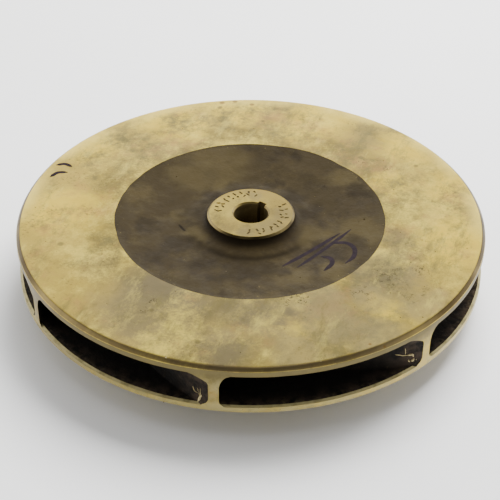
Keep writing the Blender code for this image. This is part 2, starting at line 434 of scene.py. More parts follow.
def ring_tree():
    """Repeats one vane round the shaft, each turned a little off its even place, as hand-set cores are."""
    inputs = {"Count": VANE_COUNT, "Wander": VANE_WANDER, "Seed": 844, "Skin": None}
    tree, given = new_tree("vane_ring", inputs)
    line = add(tree, "GeometryNodeMeshLine", {"Count": given["Count"], "Offset": (0, 0, 0)})
    step = add(tree, "ShaderNodeMath", {0: 2 * pi, 1: given["Count"]}, operation="DIVIDE")
    number = add(tree, "GeometryNodeInputIndex")
    even = add(tree, "ShaderNodeMath", {0: number, 1: step}, operation="MULTIPLY")
    chance = add(tree, "FunctionNodeRandomValue", {"Min": -1.0, "Max": 1.0, "Seed": given["Seed"]})
    values = {0: chance.outputs["Value"], 1: given["Wander"], 2: even}
    turn = add(tree, "ShaderNodeMath", values, operation="MULTIPLY_ADD")
    rotation = add(tree, "ShaderNodeCombineXYZ", {"Z": turn})
    return instanced(tree, given, {"Points": line, "Instance": given["Geometry"], "Rotation": rotation})


def noise_shift(tree, values, amount):
    """A shift in all directions by noise, half an amount at most."""
    noise = add(tree, "ShaderNodeTexNoise", values, noise_dimensions="4D").outputs["Color"]
    centred = add(tree, "ShaderNodeVectorMath", {0: noise, 1: (0.5, 0.5, 0.5)}, operation="SUBTRACT")
    return add(tree, "ShaderNodeVectorMath", {0: centred, "Scale": amount}, operation="SCALE")


def skin_tree():
    """Shifts every point by two sizes of noise, as a sand mould's wall leaves a casting uneven."""
    inputs = {"Lump height": 0.5 * MM, "Lump size": 28 * MM, "Grain height": 0.16 * MM, "Grain size": 7 * MM}
    tree, given = new_tree("cast_unevenness", {**inputs, "Seed": 4.0})
    place = add(tree, "GeometryNodeInputPosition")
    total = (0.0, 0.0, 0.0)
    for height, size in (("Lump height", "Lump size"), ("Grain height", "Grain size")):
        scale = add(tree, "ShaderNodeMath", {0: 1.0, 1: given[size]}, operation="DIVIDE")
        values = {"Vector": place, "W": given["Seed"], "Scale": scale, "Detail": 1.0}
        shift = noise_shift(tree, values, given[height])
        total = add(tree, "ShaderNodeVectorMath", {0: total, 1: shift}, operation="ADD")
    moved = add(tree, "GeometryNodeSetPosition", {"Geometry": given["Geometry"], "Offset": total})
    add(tree, "NodeGroupOutput", {0: moved})
    return tree


def pit_tree():
    """Scatters small squat balls over a surface, as cutters for gas pits and handling dents."""
    inputs = {"Density": 1000.0, "Smallest": 0.3 * MM, "Largest": 0.8 * MM, "Seed": 3, "Skin": None}
    tree, given = new_tree("scattered_pits", inputs)
    seed = given["Seed"]
    values = {"Mesh": given["Geometry"], "Density": given["Density"], "Seed": seed}
    points = add(tree, "GeometryNodeDistributePointsOnFaces", values)
    ball = add(tree, "GeometryNodeMeshIcoSphere", {"Radius": 1.0, "Subdivisions": 2})
    values = {"Min": given["Smallest"], "Max": given["Largest"], "Seed": seed}
    size = add(tree, "FunctionNodeRandomValue", values).outputs["Value"]
    values = {0: (0.7, 0.7, 0.4), 1: (1.5, 1.2, 0.9), "Seed": seed}
    stretch = add(tree, "FunctionNodeRandomValue", values, data_type="FLOAT_VECTOR")
    scale = add(tree, "ShaderNodeVectorMath", {0: stretch, "Scale": size}, operation="SCALE")
    values = {0: (0.0, 0.0, 0.0), 1: (0.3, 0.3, 2 * pi), "Seed": seed}
    turn = add(tree, "FunctionNodeRandomValue", values, data_type="FLOAT_VECTOR")
    return instanced(tree, given, {"Points": points, "Instance": ball, "Rotation": turn, "Scale": scale})


def punch_tree():
    """Sets copies of a chisel's tip along an arc on the hub's face, each a little askew."""
    inputs = {"Count": 9, "Radius": 25 * MM, "Start": 0.0, "Span": 1.5, "Height": HUB_Z, "Askew": radians(55)}
    tree, given = new_tree("punched_row", {**inputs, "Seed": 1, "Skin": None})
    seed = given["Seed"]
    line = add(tree, "GeometryNodeMeshLine", {"Count": given["Count"], "Offset": (0, 0, 0)})
    number = add(tree, "GeometryNodeInputIndex")
    gaps = add(tree, "ShaderNodeMath", {0: given["Count"], 1: 1.0}, operation="SUBTRACT")
    share = add(tree, "ShaderNodeMath", {0: number, 1: gaps}, operation="DIVIDE")
    values = {0: share, 1: given["Span"], 2: given["Start"]}
    angle = add(tree, "ShaderNodeMath", values, operation="MULTIPLY_ADD")
    drift = add(tree, "FunctionNodeRandomValue", {"Min": -0.05, "Max": 0.05, "Seed": seed}).outputs["Value"]
    spot = add(tree, "ShaderNodeMath", {0: angle, 1: drift}, operation="ADD")
    across = add(tree, "ShaderNodeMath", {0: spot}, operation="COSINE")
    along = add(tree, "ShaderNodeMath", {0: spot}, operation="SINE")
    outward = add(tree, "ShaderNodeCombineXYZ", {"X": across, "Y": along})
    wander = add(tree, "FunctionNodeRandomValue", {"Min": 0.96, "Max": 1.04, "Seed": seed}).outputs["Value"]
    radius = add(tree, "ShaderNodeMath", {0: given["Radius"], 1: wander}, operation="MULTIPLY")
    flat = add(tree, "ShaderNodeVectorMath", {0: outward, "Scale": radius}, operation="SCALE")
    up = add(tree, "ShaderNodeCombineXYZ", {"Z": given["Height"]})
    place = add(tree, "ShaderNodeVectorMath", {0: flat, 1: up}, operation="ADD")
    placed = add(tree, "GeometryNodeSetPosition", {"Geometry": line, "Position": place})
    tilt = add(tree, "FunctionNodeRandomValue", {"Min": -1.0, "Max": 1.0, "Seed": seed}).outputs["Value"]
    turn = add(tree, "ShaderNodeMath", {0: tilt, 1: given["Askew"], 2: angle}, operation="MULTIPLY_ADD")
    rotation = add(tree, "ShaderNodeCombineXYZ", {"Z": turn})
    values = {0: (0.5, 0.8, 0.8), 1: (1.0, 1.1, 1.1), "Seed": seed}
    length = add(tree, "FunctionNodeRandomValue", values, data_type="FLOAT_VECTOR")
    values = {"Points": placed, "Instance": given["Geometry"], "Rotation": rotation, "Scale": length}
    return instanced(tree, given, values)


# Machining: solids of air that tools clear from the casting


def turning_tools(finish, bore_finish):
    """What the lathe clears: rim and back face, front face, hub face, nose, neck and bore."""
    clear = 8 * MM
    inner = RIM_R - RIM_LOWER_CHAMFER
    cone_from = FLOOR_BEND_R + clear / 2
    cone_to = RIM_R - clear
    outlines = {
        "rim": [
            (RIM_R, RIM_BOTTOM_Z + RIM_LOWER_CHAMFER),
            *((RIM_R - across * MM, FACE_Z - down * MM) for across, down in RIM_CHAMFER_PROFILE),
            (FACED_TO_R, FACE_Z), (FACED_TO_R, FACE_Z + clear), (RIM_R + clear, FACE_Z + clear),
            (RIM_R + clear, RIM_BOTTOM_Z - clear), (inner - clear, RIM_BOTTOM_Z - clear),
            (inner - clear, front_cone_z(inner - clear)), (inner, front_cone_z(inner)),
        ],
        "front": [
            (cone_from, front_cone_z(cone_from)), (cone_from, -clear),
            (cone_to, -clear), (cone_to, front_cone_z(cone_to)),
        ],
        "hub": [
            (0.0, HUB_Z), (HUB_R - HUB_CHAMFER, HUB_Z),
            (HUB_R + clear / 4, HUB_Z - HUB_CHAMFER - clear / 4),
            (HUB_R + clear, HUB_Z - HUB_CHAMFER - clear / 4),
            (HUB_R + clear, HUB_Z + clear), (0.0, HUB_Z + clear),
        ],
        "nose": [
            (0.0, NOSE_Z), (NOSE_R - NOSE_CHAMFER, NOSE_Z),
            (NOSE_R, NOSE_Z + NOSE_CHAMFER), (NOSE_R + clear, NOSE_Z + NOSE_CHAMFER),
            (NOSE_R + clear, NOSE_Z - clear), (0.0, NOSE_Z - clear),
        ],
        "neck": [
            (THROAT_R - clear, -clear), (THROAT_R - clear, THROAT_CHAMFER),
            (THROAT_R, THROAT_CHAMFER), (THROAT_R + THROAT_CHAMFER, 0.0),
            (NECK_R - NECK_CHAMFER, 0.0), (NECK_R, NECK_CHAMFER), (NECK_R, NECK_TURNED_TO_Z),
            (NECK_R + clear / 2, NECK_TURNED_TO_Z), (NECK_R + clear / 2, -clear),
        ],
    }
    slotted = {name: [(r, z, 0) for r, z in outline] for name, outline in outlines.items()}
    slotted["bore"] = [
        (0.0, NOSE_Z - clear, 0),
        (BORE_R + BORE_CHAMFER + clear, NOSE_Z - clear, 0),
        (BORE_R, NOSE_Z + BORE_CHAMFER, 1),
        (BORE_R, HUB_Z - BORE_CHAMFER, 0),
        (BORE_R + BORE_CHAMFER + clear, HUB_Z + clear, 0),
        (0.0, HUB_Z + clear, 0),
    ]
    return [
        turned(f"{name}_tool", refined(outline, TOOL_STEP), TURN_STEPS, [finish, bore_finish])
        for name, outline in slotted.items()
    ]


def keyway_tool(finish):
    """The broach's bar: as wide as the key, from inside the bore to the keyway's top."""
    bm = bmesh.new()
    bmesh.ops.create_cube(bm, size=1.0)
    bmesh.ops.scale(bm, vec=(KEY_WIDTH, KEY_TOP_Y, 2 * HUB_Z), verts=bm.verts)
    bmesh.ops.translate(bm, vec=(0.0, KEY_TOP_Y / 2, HUB_Z), verts=bm.verts)
    return new_object("keyway_tool", bm, [finish])


def band_surface(name, ends):
    """An open turned band between two points (r, z), for pits to be scattered over."""
    bm = bmesh.new()
    bridge(bm, *(ring_of(bm, r, z, BAND_STEPS) for r, z in ends))
    return new_object(name, bm, [])


# Bands of gas pits and dents as (name, the band's two ends (r, z), how many on a square metre, smallest
# and largest radius in mm, seed, finish)
EDGE = 0.25 * MM
EDGE_R = RIM_R - RIM_CHAMFER
LIP_Z = FLOOR_RIM_Z - LIP_DROP
PIT_BANDS = (
    ("face_pits", ((102 * MM, FACE_Z), (167 * MM, FACE_Z)), 1100.0, 0.18, 0.5, 5, "pit"),
    ("band_pits", ((RIM_R, CEILING_Z), (RIM_R, FACE_Z - RIM_CHAMFER)), 5200.0, 0.15, 0.4, 8, "pit"),
    ("lower_band_pits", ((RIM_R, RIM_BOTTOM_Z), (RIM_R, LIP_Z)), 5200.0, 0.15, 0.45, 9, "pit"),
    ("front_pits", tuple((r, front_cone_z(r)) for r in (150 * MM, 168 * MM)), 900.0, 0.2, 0.5, 11, "pit"),
    ("edge_dents", tuple((EDGE_R + x, FACE_Z + EDGE) for x in (-EDGE, EDGE)), 36000.0, 0.3, 0.8, 14, "worn"),
    ("hub_dents", ((HUB_R, HUB_Z), (HUB_R + EDGE, HUB_Z - EDGE)), 90000.0, 0.3, 0.7, 15, "worn"),
    ("skin_pits", ((49 * MM, FACE_Z - 5.8 * MM), (96 * MM, FACE_Z - 0.5 * MM)), 1500.0, 0.25, 0.7, 17, "pit"),
)


def pit_tools(finishes):
    """Cutters for the gas pits in the turned and cast faces and the dents on the edges."""
    tree = pit_tree()
    tools = []
    for name, ends, density, smallest, largest, seed, finish in PIT_BANDS:
        sizes = {"Density": density, "Smallest": smallest * MM, "Largest": largest * MM, "Seed": seed}
        tools.append(apply_tree(band_surface(name, ends), tree, {**sizes, "Skin": finishes[finish]}))
    return tools


# The chisel's tip: its length across the hub, its width and its depth, with 4 sides that narrow downwards
CHISEL_TIP = (4.2 * MM, 1.5 * MM, 1.3 * MM)

# Rows of chisel marks as (name, count, radius in mm, start and span in degrees, seed)
PUNCHED_ROWS = (
    ("left_outer_row", 9, 26.4, 212.0, -94.0, 2),
    ("left_inner_row", 9, 22.8, 210.0, -92.0, 12),
    ("right_outer_row", 10, 26.4, 58.0, -114.0, 6),
    ("right_inner_row", 10, 22.8, 56.0, -112.0, 16),
)


def punch_tools(finish):
    """Rows of plain chisel marks on the hub's face."""
    tree = punch_tree()
    point_down = Matrix.Rotation(pi / 4, 3, "Z") @ Matrix.Rotation(pi, 3, "X")
    tools = []
    for name, count, radius, start, span, seed in PUNCHED_ROWS:
        bm = bmesh.new()
        bmesh.ops.create_cone(bm, cap_ends=True, segments=4, radius1=1.0, radius2=0.3, depth=1.0)
        bmesh.ops.rotate(bm, cent=(0, 0, 0), matrix=point_down, verts=bm.verts)
        bmesh.ops.scale(bm, vec=CHISEL_TIP, verts=bm.verts)
        row = {"Count": count, "Radius": radius * MM, "Start": radians(start), "Span": radians(span)}
        tip = new_object(name, bm, [finish])
        tools.append(apply_tree(tip, tree, {**row, "Seed": seed, "Skin": finish}))
    return tools


def boolean(target, operation, others):
    """Joins others to a target or cuts them from it, and takes them away."""
    for other in others:
        cut = target.modifiers.new(other.name, "BOOLEAN")
        cut.operation = operation
        cut.solver = "EXACT"
        cut.material_mode = "TRANSFER"
        cut.object = other
        other.hide_render = True
    baked(target)
    for other in others:
        bpy.data.objects.remove(other, do_unlink=True)
    return target


def smoothed(mesh, degrees):
    """Shades a mesh smooth, except across edges that are sharper than an angle."""
    for polygon in mesh.polygons:
        polygon.use_smooth = True
    mesh.set_sharp_from_angle(angle=radians(degrees))


def casting(finishes):
    """The whole impeller as one closed mesh."""
    skins = [finishes["cast"], finishes["cored"], finishes["filed"]]
    vanes = apply_tree(vane_blank(skins), ring_tree(), {"Skin": finishes["cored"]})
    uneven = skin_tree()
    blanks = [back_blank(skins), front_blank(skins), vanes]
    for blank in blanks:
        apply_tree(blank, uneven, {})
    whole = boolean(blanks[0], "UNION", blanks[1:])
    whole.name = "casting"
    cutters = [*turning_tools(finishes["turned"], finishes["bored"]), keyway_tool(finishes["bored"])]
    boolean(whole, "DIFFERENCE", cutters)
    boolean(whole, "DIFFERENCE", [*punch_tools(finishes["pit"]), *pit_tools(finishes)])
    smoothed(whole.data, 32)
    # A tool leaves a crisp border wherever its finish meets the skin
    bm = bmesh.new()
    bm.from_mesh(whole.data)
    for edge in bm.edges:
        if len({face.material_index for face in edge.link_faces}) > 1:
            edge.smooth = False
    bm.to_mesh(whole.data)
    bm.free()
    return whole


# Marks that lie on the casting


def polar(r, degrees, z=0.0):
    """A place from its distance to the axis and its height in mm."""
    return (r * MM * cos(radians(degrees)), r * MM * sin(radians(degrees)), z * MM)


def smooth_path(points, step):
    """Points on a smooth curve through the given ones, about step apart."""
    points = [Vector(p) for p in points]
    ends = [2 * points[0] - points[1], *points, 2 * points[-1] - points[-2]]
    path = []
    for a, b, c, d in zip(ends, ends[1:], ends[2:], ends[3:]):
        count = max(2, round((c - b).length / step))
        for k in range(count):
            t = k / count
            bend = 2 * a - 5 * b + 4 * c - d
            twist = 3 * b - a - 3 * c + d
            path.append(0.5 * (2 * b + (c - a) * t + bend * t**2 + twist * t**3))
    return [*path, points[-1]]


def walked(path):
    """Each point of a path with its direction and its share of the way."""
    last = len(path) - 1
    for i, point in enumerate(path):
        yield point, (path[min(i + 1, last)] - path[max(i - 1, 0)]).normalized(), i / last


def surface_of(target):
    """A piece's surface, to lay marks on."""
    return BVHTree.FromObject(target, bpy.context.evaluated_depsgraph_get())


INK_LIFT = Vector((0, 0, 0.05 * MM))
INK_SINK = Vector((0, 0, 0.15 * MM))


def ink_stroke(bm, surface, points, width):
    """One stroke of a marker on the upper face: a thin closed ribbon that follows the skin."""
    rows = []
    for point, ahead, share in walked(smooth_path([polar(*p) for p in points], 1.2 * MM)):
        across = Vector((-ahead.y, ahead.x, 0.0))
        half = width / 2 * (0.25 + 0.75 * min(1.0, 6 * share, 5 * (1 - share)))
        row = []
        for side in (-1.0, -0.5, 0.0, 0.5, 1.0):
            spot = point + across * side * half
            row.append(surface.ray_cast(Vector((spot.x, spot.y, FACE_Z + 10 * MM)), Vector((0, 0, -1)))[0])
        rows.append(row)
    top = [[bm.verts.new(p + INK_LIFT) for p in row] for row in rows]
    base = [[bm.verts.new(p - INK_SINK) for p in row] for row in rows]
    rings = [above + below[::-1] for above, below in zip(top, base)]
    for near, far in zip(rings, rings[1:]):
        bridge(bm, near, far)
    for end in (0, -1):
        bridge(bm, top[end], base[end], first=1)


# Strokes as their points (r in mm, degrees) and their width in mm
INK_STROKES = (
    (((61.1, -32.8), (67.1, 20.3)), 3.3),
    (((67.7, -25.2), (74.4, 24.9)), 3.0),
    (((64.0, 8.0), (75.0, 11.5), (83.5, 8.0), (88.0, 1.5), (87.7, -5.0)), 3.4),
    (((68.0, -7.0), (75.0, -5.5), (80.5, -9.0), (83.0, -16.0)), 3.4),
    (((161.6, 198.2), (158.8, 195.6), (152.0, 194.4)), 3.2),
    (((165.2, 192.4), (159.6, 190.9), (152.6, 191.4)), 3.2),
)


def inspection_marks(casting_piece, ink):
    """An inspector's slashes and loose hooks on the cast dish, and a tick and a dash by the rim."""
    surface = surface_of(casting_piece)
    bm = bmesh.new()
    for points, width in INK_STROKES:
        ink_stroke(bm, surface, points, width * MM)
    made = new_object("inspection_marks", bm, [ink])
    smoothed(made.data, 40)
    return made


# Fins on two vanes' sides, as points (r in mm, degrees, z in mm) and their width in mm
CORE_FINS = (
    (((165.4, -67.1, 36.0), (165.7, -66.9, 33.6), (166.4, -66.5, 32.4), (167.8, -65.6, 32.7)), 0.9),
    (((167.6, -65.7, 32.6), (168.5, -65.1, 31.9), (168.3, -65.3, 29.3), (168.4, -65.4, 25.8)), 2.1),
    (((168.6, -65.1, 37.7), (168.4, -65.2, 34.0), (168.5, -65.1, 31.9)), 0.7),
    (((167.1, -66.0, 36.8), (167.4, -65.8, 35.4), (167.6, -65.7, 33.8)), 0.5),
    (((162.3, -17.7, 37.2), (163.6, -16.8, 36.5), (164.9, -16.0, 35.6), (166.5, -14.9, 35.5)), 0.9),
    (((166.0, -15.2, 35.5), (168.0, -14.0, 35.4), (168.5, -13.7, 33.2)), 1.8),
    (((165.6, -15.6, 41.6), (165.7, -15.5, 39.0), (165.8, -15.5, 36.2)), 0.7),
    (((168.8, -13.5, 31.6), (168.3, -13.8, 30.6), (167.8, -14.2, 30.0)), 1.9),
    (((167.2, -14.6, 31.2), (167.0, -14.7, 30.3), (167.4, -14.4, 29.4)), 1.3),
    (((169.4, -13.0, 31.0), (169.3, -13.1, 30.2)), 1.0),
)
FIN_ROOT = 0.3 * MM


def core_fins(casting_piece, metal):
    """Low ridges where metal ran into cracks in the sand core, knocked back so that they shine."""
    surface = surface_of(casting_piece)
    bm = bmesh.new()
    for points, width in CORE_FINS:
        rings = []
        for point, ahead, share in walked(smooth_path([polar(*p) for p in points], 0.8 * MM)):
            hit, normal, _, _ = surface.find_nearest(point)
            across = normal.cross(ahead).normalized()
            half = width * MM / 2 * (0.3 + 0.7 * min(1.0, 4 * share, 4 * (1 - share)))
            corners = (
                hit + across * half - normal * FIN_ROOT,
                hit + across * half * 0.4 + normal * half * 0.8,
                hit - across * half * 0.4 + normal * half * 0.7,
                hit - across * half - normal * FIN_ROOT,
            )
            rings.append([bm.verts.new(corner) for corner in corners])
        for near, far in zip(rings, rings[1:]):
            bridge(bm, near, far)
        bm.faces.new(rings[0])
        bm.faces.new(rings[-1])
    return new_object("core_fins", bm, [metal])


# Materials. Sizes of patterns, radii and heights are in mm, and each noise has its own seed


def new_material(name):
    """A node material and its Object coordinates, which lead to its tree."""
    material = bpy.data.materials.new(name)
    material.use_nodes = True
    return material, add(material.node_tree, "ShaderNodeTexCoord").outputs["Object"]


def from_axis(place):
    """How far a place is from the shaft's axis, and its height."""
    tree = place.id_data
    flat = add(tree, "ShaderNodeVectorMath", {0: place, 1: (1 / MM, 1 / MM, 0.0)}, operation="MULTIPLY")
    radius = add(tree, "ShaderNodeVectorMath", {0: flat}, operation="LENGTH").outputs["Value"]
    z = add(tree, "ShaderNodeSeparateXYZ", {0: place}).outputs["Z"]
    return radius, add(tree, "ShaderNodeMath", {0: z, 1: 1 / MM}, operation="MULTIPLY")


def follow(value, *steps):
    """What goes smoothly through (value, result) steps as a value grows."""
    tree = value.id_data
    total = steps[0][1]
    for (start, before), (end, after) in zip(steps, steps[1:]):
        values = {"Value": value, "From Min": start, "From Max": end, "To Max": after - before}
        step = add(tree, "ShaderNodeMapRange", values, interpolation_type="SMOOTHSTEP")
        total = add(tree, "ShaderNodeMath", {0: total, 1: step}, operation="ADD")
    return total


def overlap(mask, *others):
    """Where masks overlap: their product."""
    for other in others:
        mask = add(mask.id_data, "ShaderNodeMath", {0: mask, 1: other}, operation="MULTIPLY")
    return mask


def patches(place, size, start, full, strength=1.0, seed=0.0, detail=3.0, grain=0.6):
    """A mask of soft patches about size across. It leaves 0 where the noise passes start."""
    values = {"Vector": place, "W": seed, "Scale": 1 / (size * MM), "Detail": detail, "Roughness": grain}
    noise = add(place.id_data, "ShaderNodeTexNoise", values, noise_dimensions="4D")
    return follow(noise, (start, 0.0), (full, strength))


def etched_lines(place, size, seed):
    """Thin lines that wander and close on themselves, as water leaves where a puddle dries."""
    tree = place.id_data
    values = {"Vector": place, "W": seed, "Scale": 1 / (size * MM), "Detail": 3.0, "Roughness": 0.7}
    noise = add(tree, "ShaderNodeTexNoise", values, noise_dimensions="4D")
    off = add(tree, "ShaderNodeMath", {0: noise, 1: 0.5}, operation="SUBTRACT")
    away = add(tree, "ShaderNodeMath", {0: off}, operation="ABSOLUTE")
    return follow(away, (0.008, 1.0), (0.03, 0.0))


def wandering(place, size, reach, seed):
    """The same place shifted by noise, so that a round mask gets an uneven outline."""
    tree = place.id_data
    values = {"Vector": place, "W": seed, "Scale": 1 / (size * MM), "Detail": 4.0, "Roughness": 0.65}
    shift = noise_shift(tree, values, 4 * reach * MM)
    return add(tree, "ShaderNodeVectorMath", {0: place, 1: shift}, operation="ADD")


def lathe_lines(place, pitch):
    """Concentric streaks that keep going round the axis, about pitch apart."""
    tree = place.id_data
    radius, height = from_axis(place)
    outward = add(tree, "ShaderNodeVectorMath", {0: place}, operation="NORMALIZE")
    parts = add(tree, "ShaderNodeSeparateXYZ", {0: outward})
    along = add(tree, "ShaderNodeMath", {0: radius, 1: height}, operation="ADD")
    count = add(tree, "ShaderNodeMath", {0: along, 1: 1 / pitch}, operation="MULTIPLY")
    spread = add(tree, "ShaderNodeCombineXYZ", {"X": parts, "Y": parts.outputs["Y"], "Z": count})
    return add(tree, "ShaderNodeTexNoise", {"Vector": spread, "Scale": 1.0, "Detail": 2.0, "Roughness": 0.7})


def spots(place, strength, heights):
    """A mask of round blurs, for each height z the (r, degrees, radius) of its blurs."""
    tree = place.id_data
    total = 0.0
    for z, blurs in heights.items():
        for r, degrees, size in blurs:
            values = {0: place, 1: polar(r, degrees, z)}
            away = add(tree, "ShaderNodeVectorMath", values, operation="DISTANCE")
            blur = follow(away.outputs["Value"], (0.35 * size * MM, strength), (size * MM, 0.0))
            total = add(tree, "ShaderNodeMath", {0: total, 1: blur}, operation="MAXIMUM")
    return total


def finished(material, looks, base, layers, bumps=()):
    """Gives a material its looks, a base colour under layers of colour, and bumps.

    A layer is one or more masks and a colour, which shows where the masks overlap. A bump is its height
    from 0 to 1 and its depth in mm.
    """
    tree = material.node_tree
    colour = srgb(base)
    for *masks, code in layers:
        values = {0: overlap(*masks), 6: colour, 7: srgb(code)}
        colour = add(tree, "ShaderNodeMix", values, data_type="RGBA").outputs[2]
    looks = {**looks, "Base Color": colour}
    for height, depth in bumps:
        values = {"Height": height, "Distance": depth * MM, "Strength": 1.0}
        if "Normal" in looks:
            values["Normal"] = looks["Normal"]
        looks["Normal"] = add(tree, "ShaderNodeBump", values)
    feed(tree, tree.nodes["Principled BSDF"], looks)
    return material


# Where the turned face differs from the rest, as {height z: (r, degrees, radius) of each blur} in mm
FACE_MM = 59.3
WIPE_ANGLE = radians(107)
# Dark clouds, most of them in front, and pale clouds, most of them at the back: tarnish, and also painted
# shade in front and painted light at the back
DARK_CLOUDS_AND_FRONT_SHADE = {FACE_MM: (
    (132, -72, 26), (134, -87, 32), (160, -66, 24), (106, -100, 20), (110, 2, 26), (160, -54, 34),
    (124, -8, 34), (146, -28, 26), (151, 84, 26), (112, 166, 20), (122, -114, 26),
)}
PALE_CLOUDS_AND_PAINTED_LIGHT = {FACE_MM: (
    (165, 46, 46), (163, 72, 36), (162, 104, 42), (165, 130, 40), (160, 152, 38), (164, 180, 34),
    (138, -146, 44), (150, 24, 40), (134, 106, 36), (134, 150, 28), (132, -38, 18), (140, -14, 20),
    (114, 56, 24),
)}
# Painted shade: the front of the face, its inner ring in front and its front right are duller and greyer
PAINTED_FRONT_SHADE = {FACE_MM: ((130, -84, 62), (112, -48, 46), (156, -62, 40), (118, 4, 34))}
PAINTED_INNER_SHADE = {FACE_MM: (
    (112, -60, 24), (112, -44, 20), (112, 0, 25), (112, 22, 18), (112, -90, 22), (160, -60, 18),
)}
PAINTED_GREY_FRONT_SHADE = {FACE_MM: (
    (156, -42, 30), (158, -24, 30), (156, -6, 26), (132, -32, 32), (128, -14, 24), (112, -26, 22),
)}
PALE_EDGE = {FACE_MM: (
    (168, -152, 44), (168, 180, 46), (168, 152, 46), (168, 124, 46), (168, 96, 46), (168, 66, 46),
    (168, 38, 40),
)}
ETCHED = {FACE_MM: (
    (123, -1, 16), (138, 8, 13), (121, -14, 14), (113, -36, 12), (143, -2, 10), (115, 76, 9),
    (119, 66, 8), (132, -86, 9),
)}
SMUDGES = {FACE_MM: (
    (140.9, -128.5, 3.4), (130.2, -84.6, 2.4), (148.6, -67.4, 2.6), (144.9, 63.6, 2.6),
    (116.8, 78.3, 3.4), (157.8, 135.4, 3.0), (134.4, 121.8, 2.4),
)}
STAINS = {
    FACE_MM: ((165.2, 134.4, 3.2), (166.2, 130.6, 3.0), (160.7, 125.7, 2.8), (165.2, -26.2, 1.6)),
    58.3: ((170.9, -23.5, 1.6),),
    29.5: ((169.6, -12.6, 1.4),),
}
# The same for the hub's face and chamfer, the rim's chamfer and the band below it
HUB_SHADE = {61.3: ((24, -18, 17), (24, 30, 13), (26, -62, 9), (22, 118, 8))}
# Painted shadow on the front of the hub's chamfer
HUB_FRONT_SHADOW = {60.0: ((31.5, -62, 26), (31.5, -30, 26), (31.5, 0, 20))}
RUBBED = {58.0: (
    (171, -178, 60), (171, -150, 55), (171, -125, 50), (171, 2, 50), (171, 26, 60), (171, 52, 56),
)}
# Painted shade on the left of the rim's band
BAND_LEFT_SHADE = {55.0: ((171.5, -130, 34), (171.5, -112, 28))}


